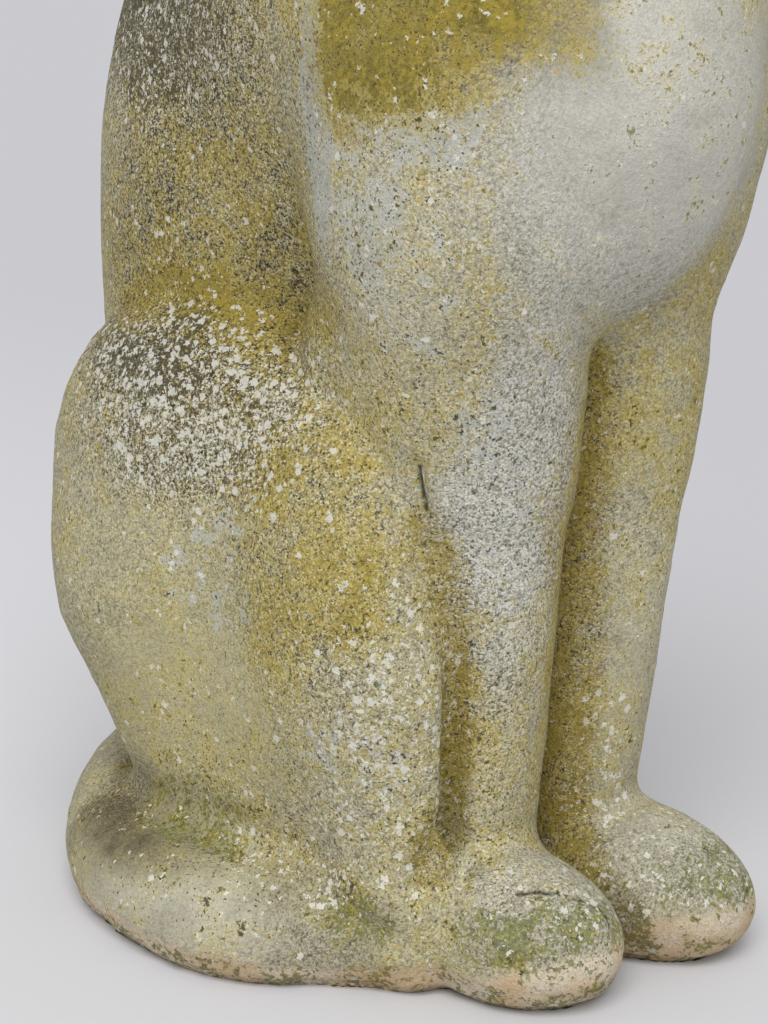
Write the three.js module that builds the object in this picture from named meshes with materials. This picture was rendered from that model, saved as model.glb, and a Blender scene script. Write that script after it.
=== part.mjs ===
import * as THREE from 'three';

// Seated garden cat cast in cement, one solid with its forelegs webbed together
// and its tail laid round its right side at the ground.
// Millimetres, +Z up. The cat looks along -Y and +X is its left side.
// The origin lies in the flat underside, in the middle of the plan.

const HEIGHT = 540;

// Everything below is given in hundredths of the height.
const WHOLE = 100;
const SHARE = HEIGHT / WHOLE;

// How softly neighbouring forms run into each other.
const CREASE = 1.0;
const LIMB_BLEND = 2;
const TAIL_BLEND = 2.4;
const MUSCLE_BLEND = 4;
const TRUNK_BLEND = 5;
const NECK_BLEND = 7;
const CHEST_BLEND = 3;
const WEB_BLEND = 1.6;
const GROOVE_BLEND = 1;
const HEAD_BLEND = 3;
const CHEEK_BLEND = 3;
const NOSE_BLEND = 2.5;
const PAD_BLEND = 1.2;
const CHIN_BLEND = 1;
const SOCKET_BLEND = 1.8;
const EYE_BLEND = 0.5;
const EAR_BLEND = 1.8;
const HOLLOW_BLEND = 0.8;

// How far the whole figure is sunk into the ground that cuts it off.
const SUNK = 0.4;

// Trunk, lumps on the middle plane.
const RUMP = { at: [0, 9, 15], radii: [11, 13, 16] };
const LOIN = { at: [0, 11.2, 38], radii: [12.6, 14.6, 30] };
const BACK = { at: [0, 7.5, 52], radii: [12.2, 17.2, 20] };
const RIBS = { at: [0, -4, 57], radii: [12.2, 15.5, 18], turn: [-8, 0, 0] };
const CHEST = { at: [0, -12.5, 56.8], radii: [11.2, 13.4, 16.8] };
const NECK = { from: [0, -2, 62], to: [0, -9.5, 80], radii: [12.5, 8.6] };
const SOLE = { at: [-0.5, 5.5, 0.5], radii: [14.2, 18, 5.8] };
const WEB = { from: [0, -6, 6], to: [0, -6.5, 38], radii: [4, 5] };

// Haunch, the same on both sides.
const THIGH = { at: [9.2, 7.2, 28.3], radii: [9, 14.8, 14], turn: [14, 0, -6] };
const BUTTOCK = { from: [10, 10.2, 21], to: [10, 6.6, 8], radii: [8.8, 6] };
const CALF = { at: [10.2, -0.5, 13], radii: [5.6, 8, 12] };
const KNEE_RADII = [6, 7.5, 12.4];
const SHANK_RADII = [4.8, 4.2];
const HEEL = [12, 4, 2.9];
const FOOT_RADII = [4.3, 3.7];

// The right knee and foot reach further forward than the left ones.
const RIGHT_HIND = {
  knee: [10.9, -6.3, 24], shank: [9.9, -9.4, 19], ankle: [10, -10.4, 7], toe: [10.2, -11.3, 2.8],
};
const LEFT_HIND = {
  knee: [9.6, -3, 24], shank: [9.4, -3.6, 19], ankle: [9.6, -4.8, 7], toe: [10.6, -8, 2.8],
};

// Shoulder and foreleg.
const RIGHT_SHOULDER = { at: [7.7, -10.8, 55], radii: [7, 10.4, 20], turn: [-4, 0, 0] };
const LEFT_SHOULDER = { at: [8.7, -11.4, 59], radii: [7, 10.6, 16.2], turn: [-4, 0, 0] };
const UPPER_ARM = { from: [6.4, -12.3, 46], to: [5.4, -11.6, 33], radii: [7.2, 6] };
const FOREARM = { from: [5.5, -11.7, 37], to: [4.6, -10.7, 8], radii: [6.6, 4.4] };
const APRON = { from: [6.8, -5.2, 3], to: [6.8, -5.2, 36], radii: [3.9, 4.2] };
const ELBOW = { at: [7.8, -6, 38.5], radii: [4.6, 5.4, 6.5] };
const PAW = { at: [5.6, -15.2, 3.7], radii: [5.8, 8.6, 4.9] };
const LEFT_PAW_EDGE = { at: [6.2, -15.8, 3.4], radii: [5.8, 8.6, 4] };

// Cut down between the right shank and the right foreleg.
const LEG_GROOVE = { from: [10.3, -15.8, 29.5], to: [8.9, -13.3, 10], radii: [0.4, 1.1] };

// Head.
const SKULL = { at: [0, -11.5, 85], radii: [10.2, 10.4, 8.6] };
const CHEEK = { at: [5.6, -14, 81.2], radii: [5.2, 5.4, 4.8] };
const NOSE = { from: [0, -17, 86.8], to: [0, -22, 82], radii: [3.6, 1.6] };
const WHISKER_PAD = { at: [2.1, -21, 79.8], radii: [3, 3.4, 2.8] };
const CHIN = { at: [0, -20, 77.4], radii: [2.8, 3, 2.3] };
const EYE_SOCKET = { at: [4.7, -21.4, 84.9], radii: [3.2, 2.5, 1.9], turn: [0, -14, 22] };
const EYEBALL = { at: [4.6, -18.7, 84.8], radii: [2.6, 1.9, 1.7], turn: [0, -14, 22] };

// Ears, cones flattened from front to back and hollowed in front.
const EAR = { from: [5.8, -10, 88.5], to: [8, -10, 98.9], radii: [5.4, 1.1] };
const EAR_HOLLOW = { from: [5.9, -13.9, 89.5], to: [7.7, -13.6, 96.4], radii: [2.9, 0.6] };
const EAR_FLATNESS = 1.4;
const HOLLOW_FLATNESS = 1.2;

// Tail, a round bar along a curve from behind the rump to the right hind foot.
const TAIL_POINTS = [
  [4, 22, 5.4], [-5, 21.2, 4.1], [-12.6, 15.2, 3.4], [-16.9, 6.8, 3.2], [-17, -2.4, 3.1], [-13.4, -7.8, 2.7],
];
const TAIL_RADII = [4.6, 4.7, 4.5, 4.4, 4.1, 3.3];
const TAIL_STEPS = 4;

// Facet size of the body and of the head, and where the one turns into the other.
const BODY_CELL = 2.25;
const HEAD_CELL = 1.25;
const CELL_CHANGE = [60, 80];
const AXIS_CHANGE = [56, 84];
const BODY_AXIS_Y = 0.5;
const HEAD_AXIS_Y = -12;
const BODY_REACH = [22, 27];
const HEAD_REACH = [12.5, 14];
const GRID_MARGIN = 2;
const RELAX_ROUNDS = 3;
const PROJECT_ROUNDS = 3;
const SLOPE_STEP = 0.02;
const LEAST_SLOPE = 0.05;
const RELAX_PULL = 0.5;

// The eight corners of a cell, numbered so that each bit is a step along one axis.
const CELL_NODES = [0, 1, 2, 3, 4, 5, 6, 7].map((n) => [n & 1, (n >> 1) & 1, (n >> 2) & 1]);
const JUST_INSIDE = -0.001;

const mix = (a, b, t) => a + (b - a) * t;
const clamp = (t) => Math.min(1, Math.max(0, t));

function ease(range, value) {
  const t = clamp((value - range[0]) / (range[1] - range[0]));
  return t * t * (3 - 2 * t);
}

function softUnion(a, b, width) {
  const t = clamp(0.5 + (0.5 * (b - a)) / width);
  return mix(b, a, t) - width * t * (1 - t);
}

const softCut = (a, b, width) => -softUnion(-a, b, width);

// Distance to an ellipsoid, close enough to the true one near its surface.
function lump(p, { at, radii, frame }) {
  let q = [p[0] - at[0], p[1] - at[1], p[2] - at[2]];
  if (frame) q = frame.map((axis) => axis[0] * q[0] + axis[1] * q[1] + axis[2] * q[2]);
  const near = Math.hypot(q[0] / radii[0], q[1] / radii[1], q[2] / radii[2]);
  const slope = Math.hypot(q[0] / radii[0] ** 2, q[1] / radii[1] ** 2, q[2] / radii[2] ** 2);
  return (near * (near - 1)) / Math.max(slope, 1e-6);
}

// Distance to a bar with round ends and a radius at each end.
function bar(p, { from, to, radii }) {
  const d = [to[0] - from[0], to[1] - from[1], to[2] - from[2]];
  const q = [p[0] - from[0], p[1] - from[1], p[2] - from[2]];
  const t = clamp((q[0] * d[0] + q[1] * d[1] + q[2] * d[2]) / (d[0] ** 2 + d[1] ** 2 + d[2] ** 2));
  return Math.hypot(q[0] - t * d[0], q[1] - t * d[1], q[2] - t * d[2]) - mix(radii[0], radii[1], t);
}

// A turned lump carries its own axes, from angles in degrees about X, Y and Z.
function turned(form) {
  if (!form.turn) return form;
  const angles = form.turn.map(THREE.MathUtils.degToRad);
  const matrix = new THREE.Matrix4().makeRotationFromEuler(new THREE.Euler(...angles, 'ZYX'));
  const e = matrix.elements;
  return { ...form, frame: [e.slice(0, 3), e.slice(4, 7), e.slice(8, 11)] };
}

const thigh = turned(THIGH);
const ribs = turned(RIBS);
const rightShoulder = turned(RIGHT_SHOULDER);
const leftShoulder = turned(LEFT_SHOULDER);
const eyeSocket = turned(EYE_SOCKET);
const eyeball = turned(EYEBALL);

function tailBars() {
  const line = new THREE.CatmullRomCurve3(
    TAIL_POINTS.map((c) => new THREE.Vector3(...c)), false, 'catmullrom', 0.5,
  );
  const spans = TAIL_POINTS.length - 1;
  const count = spans * TAIL_STEPS;
  const station = (n) => {
    const along = n / TAIL_STEPS;
    const span = Math.min(Math.floor(along), spans - 1);
    return {
      point: line.getPoint(n / count).toArray(),
      radius: mix(TAIL_RADII[span], TAIL_RADII[span + 1], along - span),
    };
  };
  const bars = [];
  for (let n = 0; n < count; n += 1) {
    const [a, b] = [station(n), station(n + 1)];
    bars.push({ from: a.point, to: b.point, radii: [a.radius, b.radius] });
  }
  return bars;
}

const tailParts = tailBars();

function trunk(p) {
  let d = softUnion(lump(p, RUMP), lump(p, LOIN), MUSCLE_BLEND);
  d = softUnion(d, lump(p, BACK), TRUNK_BLEND);
  return softUnion(d, lump(p, ribs), TRUNK_BLEND);
}

function hindLeg(side, both, hind) {
  let d = lump(side, { at: hind.knee, radii: KNEE_RADII });
  d = softUnion(both, d, MUSCLE_BLEND);
  d = softUnion(d, bar(side, { from: hind.shank, to: hind.ankle, radii: SHANK_RADII }), MUSCLE_BLEND);
  d = softUnion(d, lump(side, CALF), MUSCLE_BLEND);
  return softUnion(d, bar(side, { from: HEEL, to: hind.toe, radii: FOOT_RADII }), MUSCLE_BLEND);
}

function haunches(p, right, both) {
  const d = softUnion(lump(both, thigh), bar(both, BUTTOCK), TRUNK_BLEND);
  return hindLeg(p, hindLeg(right, d, RIGHT_HIND), LEFT_HIND);
}

function forelegs(p, right, both) {
  const shoulders = Math.min(lump(right, rightShoulder), lump(p, leftShoulder));
  let d = softUnion(shoulders, bar(both, UPPER_ARM), MUSCLE_BLEND);
  d = softUnion(d, lump(both, ELBOW), LIMB_BLEND);
  d = softUnion(d, bar(both, FOREARM), LIMB_BLEND);
  d = softUnion(d, bar(both, APRON), LIMB_BLEND);
  d = softUnion(d, lump(both, PAW), LIMB_BLEND);
  return softUnion(d, lump(p, LEFT_PAW_EDGE), LIMB_BLEND);
}

function head(p, both) {
  let d = softUnion(lump(p, SKULL), lump(both, CHEEK), CHEEK_BLEND);
  d = softUnion(d, bar(p, NOSE), NOSE_BLEND);
  d = softUnion(d, lump(both, WHISKER_PAD), PAD_BLEND);
  d = softUnion(d, lump(p, CHIN), CHIN_BLEND);
  d = softCut(d, lump(both, eyeSocket), SOCKET_BLEND);
  return softUnion(d, lump(both, eyeball), EYE_BLEND);
}

function ears(both) {
  const squeeze = (form, flatness) => bar(
    [both[0], form.from[1] + (both[1] - form.from[1]) * flatness, both[2]], form,
  );
  return softCut(squeeze(EAR, EAR_FLATNESS), squeeze(EAR_HOLLOW, HOLLOW_FLATNESS), HOLLOW_BLEND);
}

function tail(p) {
  return tailParts.reduce((least, part) => Math.min(least, bar(p, part)), Infinity);
}

// Signed distance to the whole figure, not yet cut off at the ground.
function figure(place) {
  const p = [place[0], place[1], place[2] + SUNK];
  const right = [-p[0], p[1], p[2]];
  const both = [Math.abs(p[0]), p[1], p[2]];
  let d = softUnion(trunk(p), haunches(p, right, both), CREASE);
  d = softUnion(d, forelegs(p, right, both), CREASE);
  d = softUnion(d, bar(p, WEB), WEB_BLEND);
  d = softUnion(d, lump(p, SOLE), LIMB_BLEND);
  d = softCut(d, bar(right, LEG_GROOVE), GROOVE_BLEND);
  d = softUnion(d, lump(p, CHEST), CHEST_BLEND);
  d = softUnion(d, bar(p, NECK), NECK_BLEND);
  d = softUnion(d, head(p, both), HEAD_BLEND);
  d = softUnion(d, ears(both), EAR_BLEND);
  return softUnion(d, tail(p), TAIL_BLEND);
}

const cellAt = (z) => mix(BODY_CELL, HEAD_CELL, ease(CELL_CHANGE, z));

// Levels of the grid, the ground in the middle of the lowest cell.
function gridLevels() {
  const top = EAR.to[2] + EAR.radii[1] + GRID_MARGIN;
  const levels = [-cellAt(0) / 2];
  while (levels[levels.length - 1] < top) {
    const z = levels[levels.length - 1];
    levels.push(z + cellAt(z));
  }
  return levels;
}

// Cells on each side of the grid's axis, enough to clear the body and the head.
const [halfX, halfY] = BODY_REACH.map(
  (reach, axis) => Math.ceil(Math.max(reach / BODY_CELL, HEAD_REACH[axis] / HEAD_CELL)) + 1,
);

// The grid narrows and leans forward toward the head.
function gridPoint(i, j, z) {
  const cell = cellAt(z);
  const axis = mix(BODY_AXIS_Y, HEAD_AXIS_Y, ease(AXIS_CHANGE, z));
  return [(i - halfX) * cell, axis + (j - halfY) * cell, z];
}

function slopeAt(p) {
  return [0, 1, 2].map((axis) => {
    const ahead = [...p];
    const behind = [...p];
    ahead[axis] += SLOPE_STEP;
    behind[axis] -= SLOPE_STEP;
    return (figure(ahead) - figure(behind)) / (2 * SLOPE_STEP);
  });
}

// Moves a point onto the surface, level ones only within the ground plane.
function project(p, level) {
  let q = p;
  for (let round = 0; round < PROJECT_ROUNDS; round += 1) {
    const slope = slopeAt(q);
    if (level) slope[2] = 0;
    const size = slope[0] ** 2 + slope[1] ** 2 + slope[2] ** 2;
    const step = figure(q) / Math.max(size, LEAST_SLOPE);
    const limit = cellAt(q[2]) / 2;
    const move = Math.max(-limit, Math.min(limit, step));
    q = q.map((value, axis) => value - move * slope[axis]);
  }
  return q;
}

// True if the marked corners of a cell hang together along its edges.
function hangsTogether(marked) {
  const first = marked.indexOf(true);
  if (first < 0) return true;
  const reached = new Set([first]);
  reached.forEach((n) => [1, 2, 4].forEach((bit) => {
    if (marked[n ^ bit]) reached.add(n ^ bit);
  }));
  return reached.size === marked.filter(Boolean).length;
}

// Fills the shallowest outer corner of each cell that two sheets of skin would share.
function closeNarrowGaps(at, [wide, deep, tall], values) {
  let filled = 0;
  for (let k = 0; k + 1 < tall; k += 1) {
    for (let j = 0; j + 1 < deep; j += 1) {
      for (let i = 0; i + 1 < wide; i += 1) {
        const nodes = CELL_NODES.map(([a, b, c]) => at(i + a, j + b, k + c));
        const inside = nodes.map((n) => values[n] < 0);
        if (hangsTogether(inside) && hangsTogether(inside.map((value) => !value))) continue;
        const open = nodes.filter((n, corner) => !inside[corner] && k + CELL_NODES[corner][2] > 0);
        const shallow = open.reduce((a, b) => (values[a] < values[b] ? a : b));
        values[shallow] = JUST_INSIDE;
        filled += 1;
      }
    }
  }
  if (filled) closeNarrowGaps(at, [wide, deep, tall], values);
}

// Fills the pockets within the figure that the air around it doesn't reach.
function fillPockets(at, [wide, deep, tall], values) {
  const aired = new Set([at(0, 0, 0)]);
  aired.forEach((n) => {
    const i = n % wide;
    const j = Math.floor(n / wide) % deep;
    const k = Math.floor(n / (wide * deep));
    const around = [[i - 1, j, k], [i + 1, j, k], [i, j - 1, k], [i, j + 1, k], [i, j, k - 1], [i, j, k + 1]];
    around.forEach(([a, b, c]) => {
      const within = Math.min(a, b, c) >= 0 && a < wide && b < deep && c < tall;
      if (within && values[at(a, b, c)] >= 0) aired.add(at(a, b, c));
    });
  });
  values.forEach((value, n) => {
    if (value >= 0 && !aired.has(n)) values[n] = JUST_INSIDE;
  });
}

// Builds the skin: one corner in every cell that the surface crosses, joined by quads.
function skin() {
  const levels = gridLevels();
  const wide = 2 * halfX + 1;
  const deep = 2 * halfY + 1;
  const tall = levels.length;
  const at = (i, j, k) => (k * deep + j) * wide + i;
  const points = [];
  const values = [];
  for (let k = 0; k < tall; k += 1) {
    for (let j = 0; j < deep; j += 1) {
      for (let i = 0; i < wide; i += 1) {
        const p = gridPoint(i, j, levels[k]);
        points.push(p);
        values.push(Math.max(figure(p), -p[2]));
      }
    }
  }
  fillPockets(at, [wide, deep, tall], values);
  closeNarrowGaps(at, [wide, deep, tall], values);
  const corners = [];
  const cellCorner = new Map();
  for (let k = 0; k + 1 < tall; k += 1) {
    for (let j = 0; j + 1 < deep; j += 1) {
      for (let i = 0; i + 1 < wide; i += 1) {
        const corner = crossing(i, j, k, at, points, values);
        if (corner) {
          cellCorner.set(at(i, j, k), corners.length);
          corners.push(corner);
        }
      }
    }
  }
  return { corners, quads: skinQuads(at, [wide, deep, tall], values, cellCorner) };
}

// Mean of the places where the surface crosses the edges of one cell.
function crossing(i, j, k, at, points, values) {
  const sum = [0, 0, 0];
  let count = 0;
  let lidInside = 0;
  const nodes = CELL_NODES.map(([a, b, c]) => at(i + a, j + b, k + c));
  for (let n = 0; n < nodes.length; n += 1) {
    if (CELL_NODES[n][2] && values[nodes[n]] < 0) lidInside += 1;
    for (const bit of [1, 2, 4]) {
      const [a, b] = [nodes[n], nodes[n | bit]];
      if (a === b || values[a] < 0 === values[b] < 0) continue;
      const t = values[a] / (values[a] - values[b]);
      count += 1;
      for (let axis = 0; axis < 3; axis += 1) sum[axis] += mix(points[a][axis], points[b][axis], t);
    }
  }
  if (!count) return null;
  const p = sum.map((value) => value / count);
  if (k > 0) return { p, kind: 'skin' };
  return { p: [p[0], p[1], 0], kind: lidInside === 4 ? 'base' : 'rim' };
}

function skinQuads(at, [wide, deep, tall], values, cellCorner) {
  const quads = [];
  const steps = [[1, 0, 0], [0, 1, 0], [0, 0, 1]];
  for (let k = 1; k < tall - 1; k += 1) {
    for (let j = 1; j < deep - 1; j += 1) {
      for (let i = 1; i < wide - 1; i += 1) {
        steps.forEach((step, axis) => {
          const here = values[at(i, j, k)] < 0;
          const next = values[at(i + step[0], j + step[1], k + step[2])] < 0;
          if (here === next) return;
          const u = steps[(axis + 1) % 3];
          const v = steps[(axis + 2) % 3];
          const ring = [[1, 1], [0, 1], [0, 0], [1, 0]].map(([a, b]) => cellCorner.get(
            at(i - a * u[0] - b * v[0], j - a * u[1] - b * v[1], k - a * u[2] - b * v[2]),
          ));
          quads.push(here ? ring : ring.reverse());
        });
      }
    }
  }
  for (let j = 1; j < deep - 1; j += 1) {
    for (let i = 1; i < wide - 1; i += 1) {
      if (values[at(i, j, 1)] >= 0) continue;
      const ring = [[1, 1], [0, 1], [0, 0], [1, 0]].map(([a, b]) => cellCorner.get(at(i - a, j - b, 0)));
      quads.push(ring.reverse());
    }
  }
  return quads;
}

// Evens out the corners along the surface, then brings each back onto it.
function settle(corners, quads) {
  const neighbours = corners.map(() => new Set());
  quads.forEach((ring) => ring.forEach((n, turn) => {
    neighbours[n].add(ring[(turn + 1) % 4]);
    neighbours[ring[(turn + 1) % 4]].add(n);
  }));
  for (let round = 0; round < RELAX_ROUNDS; round += 1) {
    const before = corners.map((corner) => corner.p);
    corners.forEach((corner, n) => {
      const around = [...neighbours[n]];
      const middle = [0, 1, 2].map((axis) => around.reduce((s, m) => s + before[m][axis], 0) / around.length);
      corner.p = corner.p.map((value, axis) => mix(value, middle[axis], RELAX_PULL));
      if (corner.kind !== 'skin') corner.p[2] = 0;
    });
    corners.forEach((corner) => {
      if (corner.kind !== 'base') corner.p = project(corner.p, corner.kind === 'rim');
    });
  }
}

// Splits each quad along the diagonal that lies closer to the surface, or the
// shorter one in the flat underside.
function facets(corners, quads) {
  const depth = (a, b) => Math.abs(figure([0, 1, 2].map((axis) => (a[axis] + b[axis]) / 2)));
  const length = (a, b) => Math.hypot(a[0] - b[0], a[1] - b[1]);
  return quads.flatMap(([a, b, c, d]) => {
    const [pa, pb, pc, pd] = [a, b, c, d].map((n) => corners[n].p);
    const cost = [pa, pb, pc, pd].every((p) => p[2] === 0) ? length : depth;
    return cost(pa, pc) <= cost(pb, pd) ? [a, b, c, a, c, d] : [b, c, d, b, d, a];
  });
}

function catGeometry() {
  const { corners, quads } = skin();
  settle(corners, quads);
  const reach = (axis) => {
    const values = corners.map((corner) => corner.p[axis]);
    return [Math.min(...values), Math.max(...values)];
  };
  const middle = [0, 1].map((axis) => (reach(axis)[0] + reach(axis)[1]) / 2);
  const rise = WHOLE / reach(2)[1];
  const flat = corners.flatMap(({ p }) => [
    (p[0] - middle[0]) * SHARE, (p[1] - middle[1]) * SHARE, p[2] * rise * SHARE,
  ]);
  const geometry = new THREE.BufferGeometry();
  geometry.setAttribute('position', new THREE.Float32BufferAttribute(flat, 3));
  geometry.setIndex(facets(corners, quads));
  geometry.computeVertexNormals();
  return geometry;
}

const cement = new THREE.MeshStandardMaterial({ color: 0xa8a48c, roughness: 0.95, metalness: 0 });

const cat = new THREE.Mesh(catGeometry(), cement);
cat.name = 'cat_sculpture';

const group = new THREE.Group();
group.name = 'cement_cat';
group.add(cat);

export default group;
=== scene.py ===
import math

import bpy
import numpy as np
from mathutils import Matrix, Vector


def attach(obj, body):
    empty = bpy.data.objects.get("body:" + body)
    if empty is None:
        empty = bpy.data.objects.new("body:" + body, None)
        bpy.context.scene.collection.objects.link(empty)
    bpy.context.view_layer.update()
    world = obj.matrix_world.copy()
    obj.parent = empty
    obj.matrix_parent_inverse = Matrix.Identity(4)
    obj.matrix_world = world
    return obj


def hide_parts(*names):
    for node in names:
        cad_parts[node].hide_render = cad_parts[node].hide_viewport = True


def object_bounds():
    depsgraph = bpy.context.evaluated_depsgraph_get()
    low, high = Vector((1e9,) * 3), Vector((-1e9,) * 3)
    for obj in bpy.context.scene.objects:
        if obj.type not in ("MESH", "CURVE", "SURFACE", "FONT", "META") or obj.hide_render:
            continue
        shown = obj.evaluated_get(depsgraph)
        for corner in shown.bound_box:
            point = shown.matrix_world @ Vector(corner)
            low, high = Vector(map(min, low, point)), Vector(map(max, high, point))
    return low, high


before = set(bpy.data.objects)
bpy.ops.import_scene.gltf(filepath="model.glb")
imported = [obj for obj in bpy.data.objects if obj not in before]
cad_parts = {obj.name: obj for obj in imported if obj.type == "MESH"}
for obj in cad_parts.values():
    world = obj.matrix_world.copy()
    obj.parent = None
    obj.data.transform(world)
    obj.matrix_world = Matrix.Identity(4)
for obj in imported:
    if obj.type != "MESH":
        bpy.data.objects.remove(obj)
CAD_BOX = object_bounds()

# Seated garden cat cast in cement, weathered outdoors.
# The body forms are given in hundredths of the height, in the cat's own axes:
# the cat looks along -Y, +X is its left side and the ground is at z = 0.
# The finished mesh is fitted to the model's own box, in metres.
SEED = 20

# How softly neighbouring forms run into each other.
CREASE = 0.9
LIMB_BLEND = 2.0
TAIL_BLEND = 2.4
MUSCLE_BLEND = 4.0
TRUNK_BLEND = 5.0
NECK_BLEND = 7.0
CHEST_BLEND = 3.0
WEB_BLEND = 1.6
GROOVE_BLEND = 1.0
HEAD_BLEND = 3.0
CHEEK_BLEND = 3.0
NOSE_BLEND = 2.5
PAD_BLEND = 1.2
CHIN_BLEND = 1.0
SOCKET_BLEND = 1.8
EYE_BLEND = 0.5
EAR_BLEND = 1.8
HOLLOW_BLEND = 0.8

# How far the whole figure is sunk into the ground that cuts it off.
SUNK = 0.4

RUMP = dict(at=(0, 9, 15), radii=(11, 13, 16))
LOIN = dict(at=(0, 11.2, 38), radii=(12.6, 14.6, 30))
BACK = dict(at=(0, 7.5, 52), radii=(12.2, 17.2, 20))
RIBS = dict(at=(0, -4, 57), radii=(12.2, 15.5, 18), turn=(-8, 0, 0))
CHEST = dict(at=(0, -12.5, 56.8), radii=(11.2, 13.4, 16.8))
NECK = dict(start=(0, -2, 62), end=(0, -9.5, 80), radii=(12.5, 8.6))
SOLE = dict(at=(-0.5, 5.5, 0.5), radii=(14.2, 18, 5.8))
WEB = dict(start=(0, -6, 6), end=(0, -6.5, 38), radii=(4, 5))

THIGH = dict(at=(9.2, 7.2, 28.3), radii=(9, 14.8, 14), turn=(14, 0, -6))
BUTTOCK = dict(start=(10, 10.2, 21), end=(10, 6.6, 8), radii=(8.8, 6))
CALF = dict(at=(10.2, -0.5, 13), radii=(5.6, 8, 12))
KNEE_RADII = (6, 7.5, 12.4)
SHANK_RADII = (4.8, 4.2)
HEEL = (12, 4, 2.9)
FOOT_RADII = (4.3, 3.7)
RIGHT_HIND = dict(
    knee=(10.9, -6.3, 24), shank=(9.9, -9.4, 19), ankle=(10, -10.4, 7), toe=(10.2, -11.3, 2.8)
)
LEFT_HIND = dict(
    knee=(9.6, -3, 24), shank=(9.4, -3.6, 19), ankle=(9.6, -4.8, 7), toe=(10.6, -8, 2.8)
)

RIGHT_SHOULDER = dict(at=(7.7, -10.8, 55), radii=(7, 10.4, 20), turn=(-4, 0, 0))
LEFT_SHOULDER = dict(at=(8.7, -11.4, 59), radii=(7, 10.6, 16.2), turn=(-4, 0, 0))
UPPER_ARM = dict(start=(6.4, -12.3, 46), end=(5.4, -11.6, 33), radii=(7.2, 6))
FOREARM = dict(start=(5.5, -11.7, 37), end=(4.6, -10.7, 8), radii=(6.6, 4.4))
LEG_GROOVE = dict(start=(10.3, -15.8, 29.5), end=(8.9, -13.3, 10), radii=(0.4, 1.1))
APRON = dict(start=(6.8, -5.2, 3), end=(6.8, -5.2, 36), radii=(3.9, 4.2))
ELBOW = dict(at=(7.8, -6, 38.5), radii=(4.6, 5.4, 6.5))
PAW = dict(at=(5.6, -15.2, 3.7), radii=(5.8, 8.6, 4.9))
LEFT_PAW_EDGE = dict(at=(6.2, -15.8, 3.4), radii=(5.8, 8.6, 4))

SKULL = dict(at=(0, -11.5, 85), radii=(10.2, 10.4, 8.6))
CHEEK = dict(at=(5.6, -14, 81.2), radii=(5.2, 5.4, 4.8))
NOSE = dict(start=(0, -17, 86.8), end=(0, -22, 82), radii=(3.6, 1.6))
WHISKER_PAD = dict(at=(2.1, -21, 79.8), radii=(3, 3.4, 2.8))
CHIN = dict(at=(0, -20, 77.4), radii=(2.8, 3, 2.3))
EYE_SOCKET = dict(at=(4.7, -21.4, 84.9), radii=(3.2, 2.5, 1.9), turn=(0, -14, 22))
EYEBALL = dict(at=(4.6, -18.7, 84.8), radii=(2.6, 1.9, 1.7), turn=(0, -14, 22))

EAR = dict(start=(5.8, -10, 88.5), end=(8, -10, 98.9), radii=(5.4, 1.1))
EAR_HOLLOW = dict(start=(5.9, -13.9, 89.5), end=(7.7, -13.6, 96.4), radii=(2.9, 0.6))
EAR_FLATNESS = 1.4
HOLLOW_FLATNESS = 1.2

TAIL_POINTS = [
    (4, 22, 5.4), (-5, 21.2, 4.1), (-12.6, 15.2, 3.4),
    (-16.9, 6.8, 3.2), (-17, -2.4, 3.1), (-13.4, -7.8, 2.7),
]
TAIL_RADII = (4.6, 4.7, 4.5, 4.4, 4.1, 3.3)
TAIL_STEPS = 4

# Size of the mesh cells at the paws, the body and the head, and where each turns into the next.
PAW_CELL = 0.41
BODY_CELL = 0.5
HEAD_CELL = 0.4
PAW_CHANGE = (9, 14)
HEAD_CHANGE = (68, 78)
AXIS_CHANGE = (56, 84)
BODY_AXIS_Y = 0.5
HEAD_AXIS_Y = -12.0
BODY_REACH = (22.5, 27.5)
HEAD_REACH = (13, 16)
TOP_OF_GRID = 101.5
SETTLE_ROUNDS = 3
SETTLE_SHARE = 0.5
SLOPE_STEP = 0.03
LEAST_SLOPE = 0.05
TINY = 1e-6

# Gap in metres that the mesh keeps inside the model's box at its sides and top.
BOX_MARGIN = 0.0002

# After how many lumps the seeded noise repeats, and how far out a place feels for the forms around it.
NOISE_PERIOD = 48
OCCLUSION_REACHES = (1.5, 3, 6)


def ease(low, high, value):
    """Soft step from 0 below the low value to 1 above the high one."""
    t = np.clip((value - low) / (high - low), 0, 1)
    return t * t * (3 - 2 * t)


def blend(a, b, t):
    return a + (b - a) * t


def soft_union(a, b, width):
    """Joins two distances, rounding the crease between the forms over about the given width."""
    t = np.clip(0.5 + 0.5 * (b - a) / width, 0, 1)
    return b + (a - b) * t - width * t * (1 - t)


def soft_cut(a, b, width):
    """Takes the second form out of the first with a rounded edge."""
    return -soft_union(-a, b, width)


def turn_matrix(angles):
    x, y, z = (math.radians(a) for a in angles)
    about_x = np.array([[1, 0, 0], [0, math.cos(x), -math.sin(x)], [0, math.sin(x), math.cos(x)]])
    about_y = np.array([[math.cos(y), 0, math.sin(y)], [0, 1, 0], [-math.sin(y), 0, math.cos(y)]])
    about_z = np.array([[math.cos(z), -math.sin(z), 0], [math.sin(z), math.cos(z), 0], [0, 0, 1]])
    return (about_z @ about_y @ about_x).T


def lump(p, at, radii, turn=None):
    """Distance to an ellipsoid, close enough to the true one near its surface."""
    q = [value - np.float32(centre) for value, centre in zip(p, at)]
    if turn:
        rows = turn_matrix(turn).astype(np.float32)
        q = [row[0] * q[0] + row[1] * q[1] + row[2] * q[2] for row in rows]
    near = np.sqrt(sum((value / radius) ** 2 for value, radius in zip(q, radii)))
    slope = np.sqrt(sum((value / radius**2) ** 2 for value, radius in zip(q, radii)))
    return near * (near - 1) / np.maximum(slope, TINY)


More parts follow.
